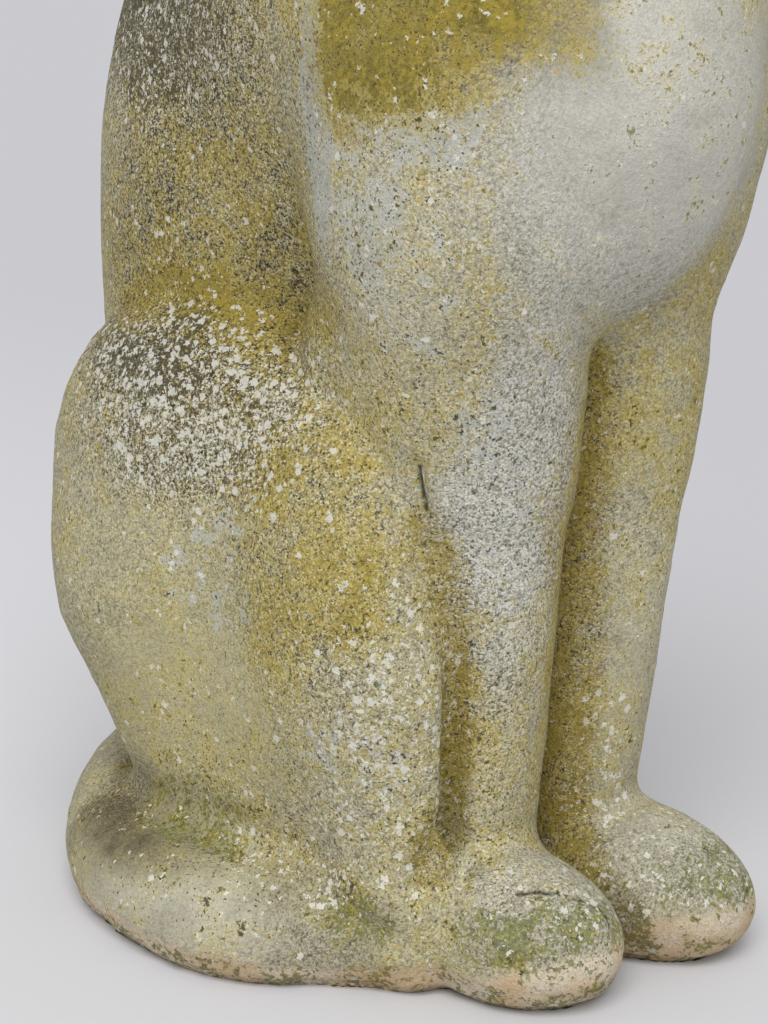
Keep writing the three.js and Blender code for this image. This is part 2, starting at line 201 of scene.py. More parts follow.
def bar(p, start, end, radii):
    """Distance to a bar with round ends and a radius at each end."""
    run = [float(b - a) for a, b in zip(start, end)]
    q = [value - np.float32(a) for value, a in zip(p, start)]
    along = sum(value * step for value, step in zip(q, run)) / sum(step**2 for step in run)
    along = np.clip(along, 0, 1)
    off = np.sqrt(sum((value - along * step) ** 2 for value, step in zip(q, run)))
    return off - blend(radii[0], radii[1], along)


def smooth_line(points, steps):
    """Points along a smooth curve through the given ones, with any radius in the last column."""
    points = np.array(points, float)
    ends = np.vstack([2 * points[0] - points[1], points, 2 * points[-1] - points[-2]])
    line = []
    for span in range(1, len(ends) - 2):
        a, b, c, d = ends[span - 1 : span + 3]
        for t in np.arange(steps) / steps:
            curve = 2 * b + (c - a) * t + (2 * a - 5 * b + 4 * c - d) * t**2 + (3 * b - a - 3 * c + d) * t**3
            line.append(curve / 2)
    return np.array(line + [points[-1]])


TAIL_LINE = smooth_line([(*point, radius) for point, radius in zip(TAIL_POINTS, TAIL_RADII)], TAIL_STEPS)


def trunk(p):
    d = soft_union(lump(p, **RUMP), lump(p, **LOIN), MUSCLE_BLEND)
    d = soft_union(d, lump(p, **BACK), TRUNK_BLEND)
    return soft_union(d, lump(p, **RIBS), TRUNK_BLEND)


def hind_leg(side, haunch, hind):
    d = soft_union(haunch, lump(side, hind["knee"], KNEE_RADII), MUSCLE_BLEND)
    d = soft_union(d, bar(side, hind["shank"], hind["ankle"], SHANK_RADII), MUSCLE_BLEND)
    d = soft_union(d, lump(side, **CALF), MUSCLE_BLEND)
    return soft_union(d, bar(side, HEEL, hind["toe"], FOOT_RADII), MUSCLE_BLEND)


def haunches(p, right, both):
    d = soft_union(lump(both, **THIGH), bar(both, **BUTTOCK), TRUNK_BLEND)
    return hind_leg(p, hind_leg(right, d, RIGHT_HIND), LEFT_HIND)


def forelegs(p, right, both):
    d = np.minimum(lump(right, **RIGHT_SHOULDER), lump(p, **LEFT_SHOULDER))
    d = soft_union(d, bar(both, **UPPER_ARM), MUSCLE_BLEND)
    d = soft_union(d, lump(both, **ELBOW), LIMB_BLEND)
    d = soft_union(d, bar(both, **FOREARM), LIMB_BLEND)
    d = soft_union(d, bar(both, **APRON), LIMB_BLEND)
    d = soft_union(d, lump(both, **PAW), LIMB_BLEND)
    return soft_union(d, lump(p, **LEFT_PAW_EDGE), LIMB_BLEND)


def head(p, both):
    d = soft_union(lump(p, **SKULL), lump(both, **CHEEK), CHEEK_BLEND)
    d = soft_union(d, bar(p, **NOSE), NOSE_BLEND)
    d = soft_union(d, lump(both, **WHISKER_PAD), PAD_BLEND)
    d = soft_union(d, lump(p, **CHIN), CHIN_BLEND)
    d = soft_cut(d, lump(both, **EYE_SOCKET), SOCKET_BLEND)
    return soft_union(d, lump(both, **EYEBALL), EYE_BLEND)


def squeezed(both, form, flatness):
    """Distance to a bar that is flattened from front to back."""
    middle = form["start"][1]
    return bar([both[0], middle + (both[1] - middle) * flatness, both[2]], **form)


def ears(both):
    shaded_hollow = squeezed(both, EAR_HOLLOW, HOLLOW_FLATNESS)
    return soft_cut(squeezed(both, EAR, EAR_FLATNESS), shaded_hollow, HOLLOW_BLEND)


def tail(p):
    pieces = zip(TAIL_LINE[:-1], TAIL_LINE[1:])
    return np.minimum.reduce([bar(p, a[:3], b[:3], (a[3], b[3])) for a, b in pieces])


def figure(p):
    """Signed distance to the whole figure, not yet cut off at the ground."""
    p = [p[0], p[1], p[2] + np.float32(SUNK)]
    right = [-p[0], p[1], p[2]]
    both = [np.abs(p[0]), p[1], p[2]]
    d = soft_union(trunk(p), haunches(p, right, both), CREASE)
    d = soft_union(d, forelegs(p, right, both), CREASE)
    d = soft_union(d, bar(p, **WEB), WEB_BLEND)
    d = soft_union(d, lump(p, **SOLE), LIMB_BLEND)
    d = soft_cut(d, bar(right, **LEG_GROOVE), GROOVE_BLEND)
    d = soft_union(d, lump(p, **CHEST), CHEST_BLEND)
    d = soft_union(d, bar(p, **NECK), NECK_BLEND)
    d = soft_union(d, head(p, both), HEAD_BLEND)
    d = soft_union(d, ears(both), EAR_BLEND)
    return soft_union(d, tail(p), TAIL_BLEND)


def cell_at(z):
    """Size of the mesh cells at a height."""
    low = blend(PAW_CELL, BODY_CELL, ease(*PAW_CHANGE, z))
    return blend(low, HEAD_CELL, ease(*HEAD_CHANGE, z))


def grid_points():
    """Grid nodes, finer and leaning forward at the head, the ground inside the lowest cells."""
    levels = [-cell_at(0) / 2]
    while levels[-1] < TOP_OF_GRID:
        levels.append(levels[-1] + cell_at(levels[-1]))
    levels = np.array(levels)
    half = [
        math.ceil(max(body / PAW_CELL, head / HEAD_CELL)) + 1 for body, head in zip(BODY_REACH, HEAD_REACH)
    ]
    size = cell_at(levels)
    axis_y = blend(BODY_AXIS_Y, HEAD_AXIS_Y, ease(*AXIS_CHANGE, levels))
    steps_x = np.arange(-half[0], half[0] + 1)
    steps_y = np.arange(-half[1], half[1] + 1)
    x = steps_x[:, None, None] * size
    y = axis_y + steps_y[None, :, None] * size
    shape = (len(steps_x), len(steps_y), len(levels))
    return np.stack([np.broadcast_to(a, shape) for a in (x, y, levels)], axis=-1).astype(np.float32)


def slope_at(p):
    """Direction in which the distance to the figure grows fastest, at each point."""
    slope = []
    for axis in range(3):
        ahead, behind = p.copy(), p.copy()
        ahead[:, axis] += SLOPE_STEP
        behind[:, axis] -= SLOPE_STEP
        slope.append((figure(list(ahead.T)) - figure(list(behind.T))) / (2 * SLOPE_STEP))
    return np.stack(slope, axis=1)


def project(p, level):
    """Moves points onto the surface; the marked ones move only within the ground plane."""
    slope = slope_at(p)
    slope[level, 2] = 0
    size = np.maximum((slope**2).sum(axis=1), LEAST_SLOPE)
    move = np.clip(figure(list(p.T)) / size, -PAW_CELL, PAW_CELL)
    return p - move[:, None] * slope


CELL_NODES = [(n & 1, (n >> 1) & 1, (n >> 2) & 1) for n in range(8)]


def skin():
    """One corner in every cell that the surface crosses, joined by quads."""
    nodes = grid_points()
    values = np.maximum(figure([nodes[..., axis] for axis in range(3)]), -nodes[..., 2])
    inside = values < 0
    cells = tuple(n - 1 for n in values.shape)

    def window(array, node):
        return array[tuple(slice(step, step + count) for step, count in zip(node, cells))]

    marked = sum(window(inside, node).astype(np.int8) for node in CELL_NODES)
    crossed = np.argwhere((marked > 0) & (marked < 8))
    number = np.full(cells, -1, np.int64)
    number[tuple(crossed.T)] = np.arange(len(crossed))
    total = np.zeros((len(crossed), 3))
    count = np.zeros(len(crossed))
    for n, node in enumerate(CELL_NODES):
        for bit in (1, 2, 4):
            if n & bit:
                continue
            a = tuple((crossed + node).T)
            b = tuple((crossed + CELL_NODES[n | bit]).T)
            crosses = inside[a] != inside[b]
            t = np.where(crosses, values[a] / np.where(crosses, values[a] - values[b], 1), 0)
            place = nodes[a] + (nodes[b] - nodes[a]) * t[:, None]
            total += place * crosses[:, None]
            count += crosses
    corners = total / count[:, None]
    above = sum(inside[tuple((crossed + node).T)].astype(np.int8) for node in CELL_NODES if node[2])
    level = crossed[:, 2] == 0
    return corners, skin_quads(inside, number), level, level & (above == 4)


def without_pockets(corners, quads, level, base):
    """Drops the closed pockets inside the figure, keeping the corners joined to the topmost one."""
    joined = np.zeros(len(corners), bool)
    joined[corners[:, 2].argmax()] = True
    spreading = True
    while spreading:
        rings = quads[joined[quads].any(axis=1)]
        spreading = not joined[rings].all()
        joined[rings] = True
    number = np.cumsum(joined) - 1
    return corners[joined], number[quads[joined[quads[:, 0]]]], level[joined], base[joined]


def skin_quads(inside, number):
    """A quad across every grid edge that crosses the surface, its front facing out."""
    quads = []
    for axis in range(3):
        low = [slice(1, -1)] * 3
        high = [slice(1, -1)] * 3
        low[axis], high[axis] = slice(0, -1), slice(1, None)
        here, there = inside[tuple(low)], inside[tuple(high)]
        edges = np.argwhere(here != there)
        filled = here[tuple(edges.T)]
        edges += [0 if side == axis else 1 for side in range(3)]
        u, v = np.eye(3, dtype=int)[(axis + 1) % 3], np.eye(3, dtype=int)[(axis + 2) % 3]
        ring = [number[tuple((edges - a * u - b * v).T)] for a, b in ((1, 1), (0, 1), (0, 0), (1, 0))]
        ring = np.stack(ring, axis=1)
        ring[~filled] = ring[~filled][:, ::-1]
        quads.append(ring)
    return np.vstack(quads)


def settle(corners, quads, level, base):
    """Evens out the corners along the surface and brings each back onto it."""
    starts = np.concatenate([quads.ravel(), np.roll(quads, 1, axis=1).ravel()])
    ends = np.concatenate([np.roll(quads, 1, axis=1).ravel(), quads.ravel()])
    weight = np.bincount(starts, minlength=len(corners))
    for _ in range(SETTLE_ROUNDS):
        sums = [np.bincount(starts, corners[ends, axis], len(corners)) for axis in range(3)]
        corners = blend(corners, np.stack(sums, axis=1) / weight[:, None], SETTLE_SHARE)
        corners[level, 2] = 0
        corners = np.where(base[:, None], corners, project(corners, level))
    return corners


def cloud(p, size, salt):
    """Smooth seeded noise from -1 to 1, with lumps of about the given size."""
    spots = np.random.default_rng((SEED, salt)).uniform(-1, 1, (NOISE_PERIOD,) * 3)
    cell = np.floor(p / size).astype(int)
    t = p / size - cell
    t = t * t * (3 - 2 * t)
    total = np.zeros(len(p))
    for node in CELL_NODES:
        weight = np.prod(np.where(node, t, 1 - t), axis=1)
        total += weight * spots[tuple(((cell + node) % NOISE_PERIOD).T)]
    return total


def mirrored(p):
    """The points with those of the right side brought over to the left."""
    return np.column_stack([np.abs(p[:, 0]), p[:, 1:]])


def spot(p, at, radii):
    """A soft region that is 1 around a place and fades to 0 at its radii."""
    off = np.sqrt((((p - at) / radii) ** 2).sum(axis=1))
    return 1 - ease(*SPOT_FADE, off)


def away_from(p, line):
    """Distance to a line through the given points."""
    return np.minimum.reduce([bar(list(p.T), a, b, (0, 0)) for a, b in zip(line[:-1], line[1:])])


def beside(p, line, fade):
    """A soft strip that is 1 along a line and fades to 0 over the given distances from it."""
    return 1 - ease(*fade, away_from(p, line))


def groove(p, line, width, depth):
    return -depth * np.exp(-((away_from(p, line) / width) ** 2))


def occlusion(p, n):
    """How far each place is closed in by the forms and the ground around it, from 0 to 1."""
    total = 0
    for reach in OCCLUSION_REACHES:
        q = p + n * reach
        gap = np.minimum(figure(list(q.T)), q[:, 2])
        total += np.clip(1 - gap / reach, 0, 1)
    return total / len(OCCLUSION_REACHES)


# Over which shares of its radii a soft region fades.
SPOT_FADE = (0.5, 1.15)

# Lines cut into the casting, in the cat's own axes.
KNEE_SLIT = [(-11.9, -13.7, 33.2), (-11.7, -13.7, 32), (-11.4, -13.8, 30.4)]
FOOT_GROOVE = [(-15.4, -9.2, 5.8), (-14.6, -11.6, 4.9), (-13.5, -13.8, 4)]
SHANK_FOOT = [(-10.2, -14.3, 11), (-11.2, -14.4, 9), (-12, -14.2, 7.6)]
TAIL_HOLLOW = [(-17.4, 9, 7.6), (-16.7, 3.5, 7.7), (-16.4, -2, 7.4)]
SCALE_EDGE = [
    (-8.2, -18.8, 7.2), (-6.8, -20.2, 7.2), (-5.4, -21.2, 6.8), (-4.3, -22.1, 6), (-4.4, -22.9, 5.1),
]
OUTER_TOE = [(6.4, -20.6, 7.3), (7.3, -22.2, 6.3), (7.8, -23.4, 4.9), (7.9, -23.9, 3)]
INNER_TOE = [(4.2, -22, 6.6), (4, -23.5, 4.6), (4, -23.9, 2.8)]
NEAR_TOES = [
    [(-6.9, -21.4, 6.4), (-7.1, -23, 4.6), (-7.2, -23.4, 3)],
    [(-9.3, -20.4, 5.8), (-9.8, -21.6, 4), (-9.9, -22, 2.8)],
]
MOUTH = [(0, -23.2, 81.2), (0, -23.3, 79.6), (1.6, -23.6, 78.4), (3.4, -22.9, 78.5), (4.4, -21.4, 79.4)]
NOSTRIL = [(0.7, -23.6, 81.6), (1.3, -23, 82.1)]

# Each groove's line, half its width and its depth. Those of the face lie on either side of it.
GROOVES = [
    (KNEE_SLIT, 0.42, 0.55),
    (FOOT_GROOVE, 0.9, 0.5),
    (SHANK_FOOT, 0.9, 0.5),
    (TAIL_HOLLOW, 2.2, 0.5),
    (SCALE_EDGE, 0.32, 0.22),
    (OUTER_TOE, 0.45, 0.45),
    (INNER_TOE, 0.6, 0.22),
    *[(line, 0.7, 0.2) for line in NEAR_TOES],
]
FACE_GROOVES = [(MOUTH, 0.38, 0.4), (NOSTRIL, 0.32, 0.35)]

# Unevenness of the cast surface: how far it rises or sinks, over lumps of what size.
SWELLS = [(0.14, 8), (0.05, 3), (0.035, 1.3)]
CALM_FACE = dict(at=(0, -20, 82), radii=(9, 7, 8))
FACE_CALMNESS = 0.7
CRUST_RISE = 0.09
CRUST_SIZE = 0.9
CRUST_FACING = (0.15, 0.75)
CRUST_HEIGHTS = (6, 20)
GRAIN_RISE = 0.04
GRAIN_SIZE = 0.8
GRAIN_RANGE = (0.1, 0.9)
PIT_DEPTH = 0.12
PIT_SIZE = 0.9
PIT_RANGE = (0.62, 0.85)
PIT_PATCH_SIZE = 6
PIT_PATCH_RANGE = (-0.2, 0.5)

# The rough foot of the casting and its rounded lower edge.
FOOT_SWELLS = [(0.16, 2.4), (0.1, 1.1)]
FOOT_HEIGHTS = (0.6, 3.4)
EDGE_ROUNDING = 0.3
EDGE_HEIGHTS = (0, 0.9)

# A lifted scale on the right paw, and cushions of moss, each with its place and radii.
RAISED_SCALE = dict(at=(-7.4, -20.2, 7), radii=(2, 1.1, 1.4))
SCALE_RISE = 0.22
MOSS_CUSHIONS = [
    ((-5.2, -22, 5.6), (1.6, 1.5, 1.6)),
    ((-8.4, -21.6, 4.9), (1.6, 1.4, 1.4)),
    ((4.6, -21.8, 6.4), (1.4, 1.3, 1.2)),
    ((7, -23, 5.2), (1.2, 1.2, 1.4)),
]
MOSS_RISE = 0.3
MOSS_SIZE = 0.8

# Lines along which dirt and ochre have gathered, with painted shade down the leg grooves and between the
# paws.
SHANK_DIRT_AND_SHADE = [
    (-11.3, -13.9, 29.5), (-10.3, -14.4, 27), (-9.3, -14.3, 22.5), (-8.8, -14, 17), (-9.6, -14, 12.5),
    (-11.2, -14.3, 8.8),
]
INNER_DIRT_AND_SHADE = [(0, -15.4, 37), (0.2, -14.4, 24), (0.4, -14, 10), (0.2, -15.2, 6)]
LEG_EDGE = [(-2.2, -17.7, 36), (-2.5, -16.5, 26.5), (-2.8, -15.7, 17.5), (-3.6, -15.9, 8.6)]
# Painted shade in the gap between the paws at the ground.
PAW_GAP_SHADE = [(0.3, -18.4, 4), (0.3, -20.6, 2.2), (0.4, -22, 0.8)]

# Distances from those lines, heights, upward slopes and shares of closeness over which growth, dirt and
# painted shade fade.
SHANK_DIRT_AND_SHADE_FADE = (0.7, 2.1)
INNER_DIRT_AND_SHADE_FADE = (1.4, 3.4)
LEG_EDGE_FADE = (0.3, 1.2)
PAW_GAP_SHADE_FADE = (0.8, 2.4)
HOLLOW_RANGE = (0.32, 0.66)
LOW_HEIGHTS = (1.6, 4)
FOOT_BAND_HEIGHTS = (0.7, 3.2)
HOLLOW_OCHRE_HEIGHTS = (4, 9)
WHITE_HEIGHTS = (30, 50)
WHITE_FACING = (0.3, 0.9)
DARK_HEIGHTS = (45, 65)
DARK_FACING = (0.25, 0.9)
MOSS_HEIGHTS = (6, 22)
PALE_TOES = dict(at=(-6.5, -23, 1.2), radii=(6.5, 5.5, 4))
CLAY_TOES = dict(at=(5, -22.5, 1.6), radii=(7, 6, 3.6))

# How far the regions of growth stray from their plain outlines, in lumps of what size.
STRAY = 1.8
STRAY_SIZE = 5

# Growth, dirt and some painted shade on the surface: a number everywhere, how patchy it is, and soft
# regions that add to it. BOTH regions lie on either side of the cat, OWN ones once.
BOTH = "both"
OWN = "own"
TONE = dict(base=0.66, patchy=0.1, regions=[
    (OWN, (-3, -23, 52), (12, 10, 14), 0.12),
    (BOTH, (13.5, -13, 47), (5, 6, 9), 0.09),
    (OWN, (-8, -17.5, 32), (5, 5, 13), 0.12),
    (OWN, (6, -18, 28), (5, 5, 14), 0.08),
    (BOTH, (14, -9, 31), (5, 7, 8), 0.06),
    (BOTH, (12.5, 5, 45), (7, 14, 11), -0.16),
    (BOTH, (16, 3, 22), (7, 13, 10), 0.05),
    # The top of the tail where it runs under the haunch is darker: partly dirt, partly painted shade.
    (BOTH, (17.5, 7, 7.5), (5, 9, 4), -0.22),
    (BOTH, (19.5, 9, 6), (4, 9, 3), -0.18),
    (OWN, (-15.5, -9, 5), (5, 6, 4.5), -0.12),
    (OWN, (-8.5, -20, 60.5), (7, 6, 6), -0.26),
    (BOTH, (12.5, -13, 60), (7, 8, 9), -0.12),
    (BOTH, (14.5, -1, 46), (4, 8, 6), 0.15),
    (OWN, (-7.5, -16.5, 18), (5, 5, 13), 0.08),
    (BOTH, (5, 10, 66), (12, 18, 14), -0.12),
])
TINT = dict(base=0.62, patchy=0.1, regions=[
    (OWN, (-3, -23, 52), (14, 10, 15), -0.62),
    (OWN, (-8, -17.5, 32), (5, 5, 14), -0.62),
    (BOTH, (13.5, -13, 47), (5, 6, 9), -0.2),
    (BOTH, (17, 2, 18), (6, 12, 12), 0.3),
    (BOTH, (19, -2, 3), (6, 14, 3.5), -0.3),
    (BOTH, (6, -20, 6.4), (6.5, 7, 3.4), -0.3),
])
ROUGH = dict(base=0.56, patchy=0.1, regions=[
    (BOTH, (12.5, 5, 45), (7, 15, 12), 0.55),
    (BOTH, (14.5, 4, 35), (8, 14, 7.5), 0.65),
    (BOTH, (15, -8, 27), (5, 7, 10), 0.45),
    (BOTH, (16, 3, 16), (6, 9, 8), -0.24),
    (OWN, (0, -23, 55), (14, 10, 12), -0.4),
    (OWN, (-7, -17, 28), (5, 5, 16), 0.34),
    (BOTH, (18, 3, 5), (7, 14, 5), -0.4),
    (OWN, (6, -17, 14), (5, 5, 12), -0.22),
    (BOTH, (11, 8, 58), (9, 17, 8), 0.5),
])
OCHRE_GROWTH = dict(base=0.16, patchy=0.14, regions=[
    (BOTH, (12.5, 4, 43), (7, 15, 11), 0.17),
    (OWN, (-12.5, -13, 60), (7, 8, 9), 0.6),
    (BOTH, (8, -6, 70), (11, 17, 13), 0.26),
    (OWN, (-8.5, -20, 60.5), (7, 6, 5.5), 0.4),
    (OWN, (12, -7, 61), (7, 11, 9), 0.3),
    (BOTH, (14, -12, 51), (3, 5, 7), 0.16),
    (BOTH, (15, -8, 28), (4.5, 7, 10), 0.3),
    (OWN, (-3, -23, 50), (11, 8, 13), -0.18),
    (OWN, (-8, -17.5, 32), (4.5, 5, 13), -0.16),
    (OWN, (6, -18, 38), (6, 5, 12), 0.18),
    (BOTH, (13, 4, 40.6), (5, 13, 2.6), 0.3),
    (BOTH, (19, 0, 5), (5, 14, 5), -0.12),
    (BOTH, (6, -20, 6), (6.5, 6, 3.5), -0.16),
])
WHITE_GROWTH = dict(base=0.03, patchy=0.05, regions=[
    (BOTH, (14.5, 4, 35), (7, 13, 7), 0.72),
    (BOTH, (12.5, -12, 15), (4.5, 5, 12), 0.3),
    (OWN, (-15.5, -7, 6.5), (5, 6, 3.5), 0.3),
    (BOTH, (14, -11, 20), (4, 5, 6), 0.12),
    (BOTH, (6, -20, 6), (6.5, 6.5, 3), 0.2),
    (BOTH, (11.5, 9, 57.5), (5, 12, 6), 0.3),
    (OWN, (3.5, -15.5, 12), (3, 3, 6), 0.25),
])
DARK_GROWTH = dict(base=0.02, patchy=0.1, regions=[
    (OWN, (0, -22, 52), (15, 10, 16), -0.25),
    (BOTH, (14, 10, 37.5), (7, 9, 4.5), 0.22),
    (BOTH, (15, 4, 34.5), (6, 11, 6.5), 0.22),
    (BOTH, (10.5, 8, 60), (9, 16, 8), 0.24),
    (BOTH, (4, 12, 66), (14, 20, 18), 0.16),
    (BOTH, (17.5, 11, 7.6), (4, 5, 2.5), 0.2),
])
FILM = dict(base=0.1, patchy=0.14, regions=[
    (BOTH, (14.7, -7.8, 52), (2.2, 1.7, 12), 0.6),
    (BOTH, (14.4, -12, 50), (4, 4, 7), 0.4),
    (BOTH, (13, -17, 53), (3.4, 3.4, 3.6), 0.4),
    (BOTH, (13.8, -15.5, 43.5), (4, 4.5, 7), 0.24),
    (OWN, (-9, -17.5, 33), (4, 4, 9), 0.24),
    (BOTH, (16.5, -1, 25), (4, 6, 6), 0.32),
    (BOTH, (14, -10, 17), (4, 6, 8), 0.22),
])
MOSS_GROWTH = dict(base=0.02, patchy=0.08, regions=[
    (BOTH, (6.6, -21.6, 5), (6, 4, 2.8), 0.4),
    (OWN, (-10.6, -18.6, 4.8), (2.6, 3.2, 2), 0.4),
    (OWN, (-16.5, 3.2, 8), (2.6, 6.5, 3.2), 0.34),
    (OWN, (-14.6, -11.6, 5), (3, 3.4, 2.2), 0.42),
])


def grit(p, n):
    """Crust of grains on what faces up, single proud grains, and pits in clusters."""
    crusty = ease(*CRUST_FACING, n[:, 2]) * ease(*CRUST_HEIGHTS, p[:, 2])
    clusters = ease(*PIT_PATCH_RANGE, cloud(p, PIT_PATCH_SIZE, 7))
    out = CRUST_RISE * crusty * cloud(p, CRUST_SIZE, 4)
    out += GRAIN_RISE * ease(*GRAIN_RANGE, cloud(p, GRAIN_SIZE, 5))
    return out - PIT_DEPTH * ease(*PIT_RANGE, cloud(p, PIT_SIZE, 6)) * clusters


def relief(p, n):
    """How far the cast surface stands proud of the plain form, in the cat's own units."""
    side = mirrored(p)
    z = p[:, 2]
    calm = 1 - FACE_CALMNESS * spot(p, **CALM_FACE)
    out = sum(rise * cloud(p, size, salt) for salt, (rise, size) in enumerate(SWELLS, 1))
    out = calm * (out + grit(p, n))
    foot = sum(rise * cloud(p, size, salt) for salt, (rise, size) in enumerate(FOOT_SWELLS, 8))
    out += (1 - ease(*FOOT_HEIGHTS, z)) * foot
    out -= EDGE_ROUNDING * (1 - ease(*EDGE_HEIGHTS, z))
    for line, width, depth in GROOVES:
        out += groove(p, line, width, depth)
    for line, width, depth in FACE_GROOVES:
        out += groove(side, line, width, depth)
    out += SCALE_RISE * spot(p, **RAISED_SCALE)
    for at, radii in MOSS_CUSHIONS:
        out += MOSS_RISE * spot(p, at, radii) * (0.7 + 0.6 * cloud(p, MOSS_SIZE, 10))
    return out


def spread(p, patches, growth):
    """One map at every corner, from its table of soft regions."""
    side = mirrored(p)
    total = growth["base"] + growth["patchy"] * patches
    for where, at, radii, amount in growth["regions"]:
        total += amount * spot(side if where == BOTH else p, at, radii)
    return total


def surface_maps(p, n, closed):
    """Where each kind of growth, dirt and painted shade lies, as numbers from 0 to about 1 at every corner.
    """
    z = p[:, 2]
    up = n[:, 2]
    middling = cloud(p, 4, 22)
    patches = 0.5 * cloud(p, 9, 21) + 0.35 * middling + 0.15 * cloud(p, 1.8, 23)
    strayed = p + STRAY * np.column_stack([cloud(p, STRAY_SIZE, salt) for salt in (24, 25, 26)])
    shaded_hollow = ease(*HOLLOW_RANGE, closed)
    # Brown and ochre down the leg grooves: partly dirt, partly painted shade.
    dirt_and_shade = np.maximum(0.85 * beside(p, SHANK_DIRT_AND_SHADE, SHANK_DIRT_AND_SHADE_FADE), beside(p, INNER_DIRT_AND_SHADE, INNER_DIRT_AND_SHADE_FADE))
    edge = beside(p, LEG_EDGE, LEG_EDGE_FADE)
    paw_gap_shade = beside(p, PAW_GAP_SHADE, PAW_GAP_SHADE_FADE)
    clay = 0.4 * spot(p, **CLAY_TOES)
    low = 1 - ease(*LOW_HEIGHTS, z)

    # The tone is painted darker in the closed-in hollows, as shade.
    tone = spread(strayed, patches, TONE) - 0.16 * shaded_hollow - 0.02 * dirt_and_shade
    ochre = spread(strayed, patches, OCHRE_GROWTH)
    ochre += 0.28 * dirt_and_shade + 0.3 * edge + 0.16 * shaded_hollow * ease(*HOLLOW_OCHRE_HEIGHTS, z)
    white = spread(strayed, patches, WHITE_GROWTH)
    white += 0.14 * ease(*WHITE_FACING, up) * ease(*WHITE_HEIGHTS, z)
    dark = spread(strayed, patches, DARK_GROWTH)
    dark += 0.2 * ease(*DARK_FACING, up) * ease(*DARK_HEIGHTS, z) - 0.2 * low
    moss = spread(p, patches, MOSS_GROWTH)
    moss += 0.3 * np.maximum(shaded_hollow, dirt_and_shade) * (1 - ease(*MOSS_HEIGHTS, z))
    band = 1 - ease(*FOOT_BAND_HEIGHTS, z + 0.8 * middling) + 1.05 * spot(p, **PALE_TOES) + 2 * clay
    return dict(
        tone=tone,
        tint=spread(p, patches, TINT),
        rough=spread(p, patches, ROUGH) + 0.4 * dirt_and_shade,
        ochre=ochre,
        white=white,
        dark=dark,
        film=spread(p, patches, FILM),
        moss=moss,
        band=band,
        # Brown grime: dirt, and painted shade in the hollows, down the grooves and in the gap between the
        # paws.
        grime_and_shade=np.maximum.reduce([0.4 * shaded_hollow, 0.5 * dirt_and_shade, 0.9 * paw_gap_shade, clay]),
        crack=np.minimum(away_from(p, SCALE_EDGE), away_from(p, KNEE_SLIT)),
    )


def fitted(corners):
    """The corners in metres, filling the model's box but for a small gap at its sides and top."""
    low, high = corners.min(axis=0), corners.max(axis=0)
    box_low = np.array(CAD_BOX[0]) + (BOX_MARGIN, BOX_MARGIN, 0)
    box_high = np.array(CAD_BOX[1]) - BOX_MARGIN
    return box_low + (corners - low) / (high - low) * (box_high - box_low)


def mesh_from(places, quads, maps):
    mesh = bpy.data.meshes.new("cast_cat")
    mesh.vertices.add(len(places))
    mesh.vertices.foreach_set("co", places.ravel())
    mesh.loops.add(quads.size)
    mesh.loops.foreach_set("vertex_index", quads.ravel())
    mesh.polygons.add(len(quads))
    mesh.polygons.foreach_set("loop_start", np.arange(len(quads)) * 4)
    mesh.polygons.foreach_set("use_smooth", np.ones(len(quads), bool))
    mesh.update(calc_edges=True)
    mesh.validate()
    for name, values in maps.items():
        mesh.attributes.new(name, "FLOAT", "POINT").data.foreach_set("value", values.astype(np.float32))
    return mesh


def make_cat():
    corners, quads, level, base = without_pockets(*skin())
    corners = settle(corners, quads, level, base)
    slope = slope_at(corners)
    slope[level, 2] = 0
    normals = slope / np.maximum(np.linalg.norm(slope, axis=1), TINY)[:, None]
    maps = surface_maps(corners, normals, occlusion(corners, normals))
    move = np.where(base, 0, relief(corners, normals))
    mesh = mesh_from(fitted(corners + normals * move[:, None]), quads, maps)
    cat = bpy.data.objects.new("cast_cat", mesh)
    bpy.context.scene.collection.objects.link(cat)
    return cat


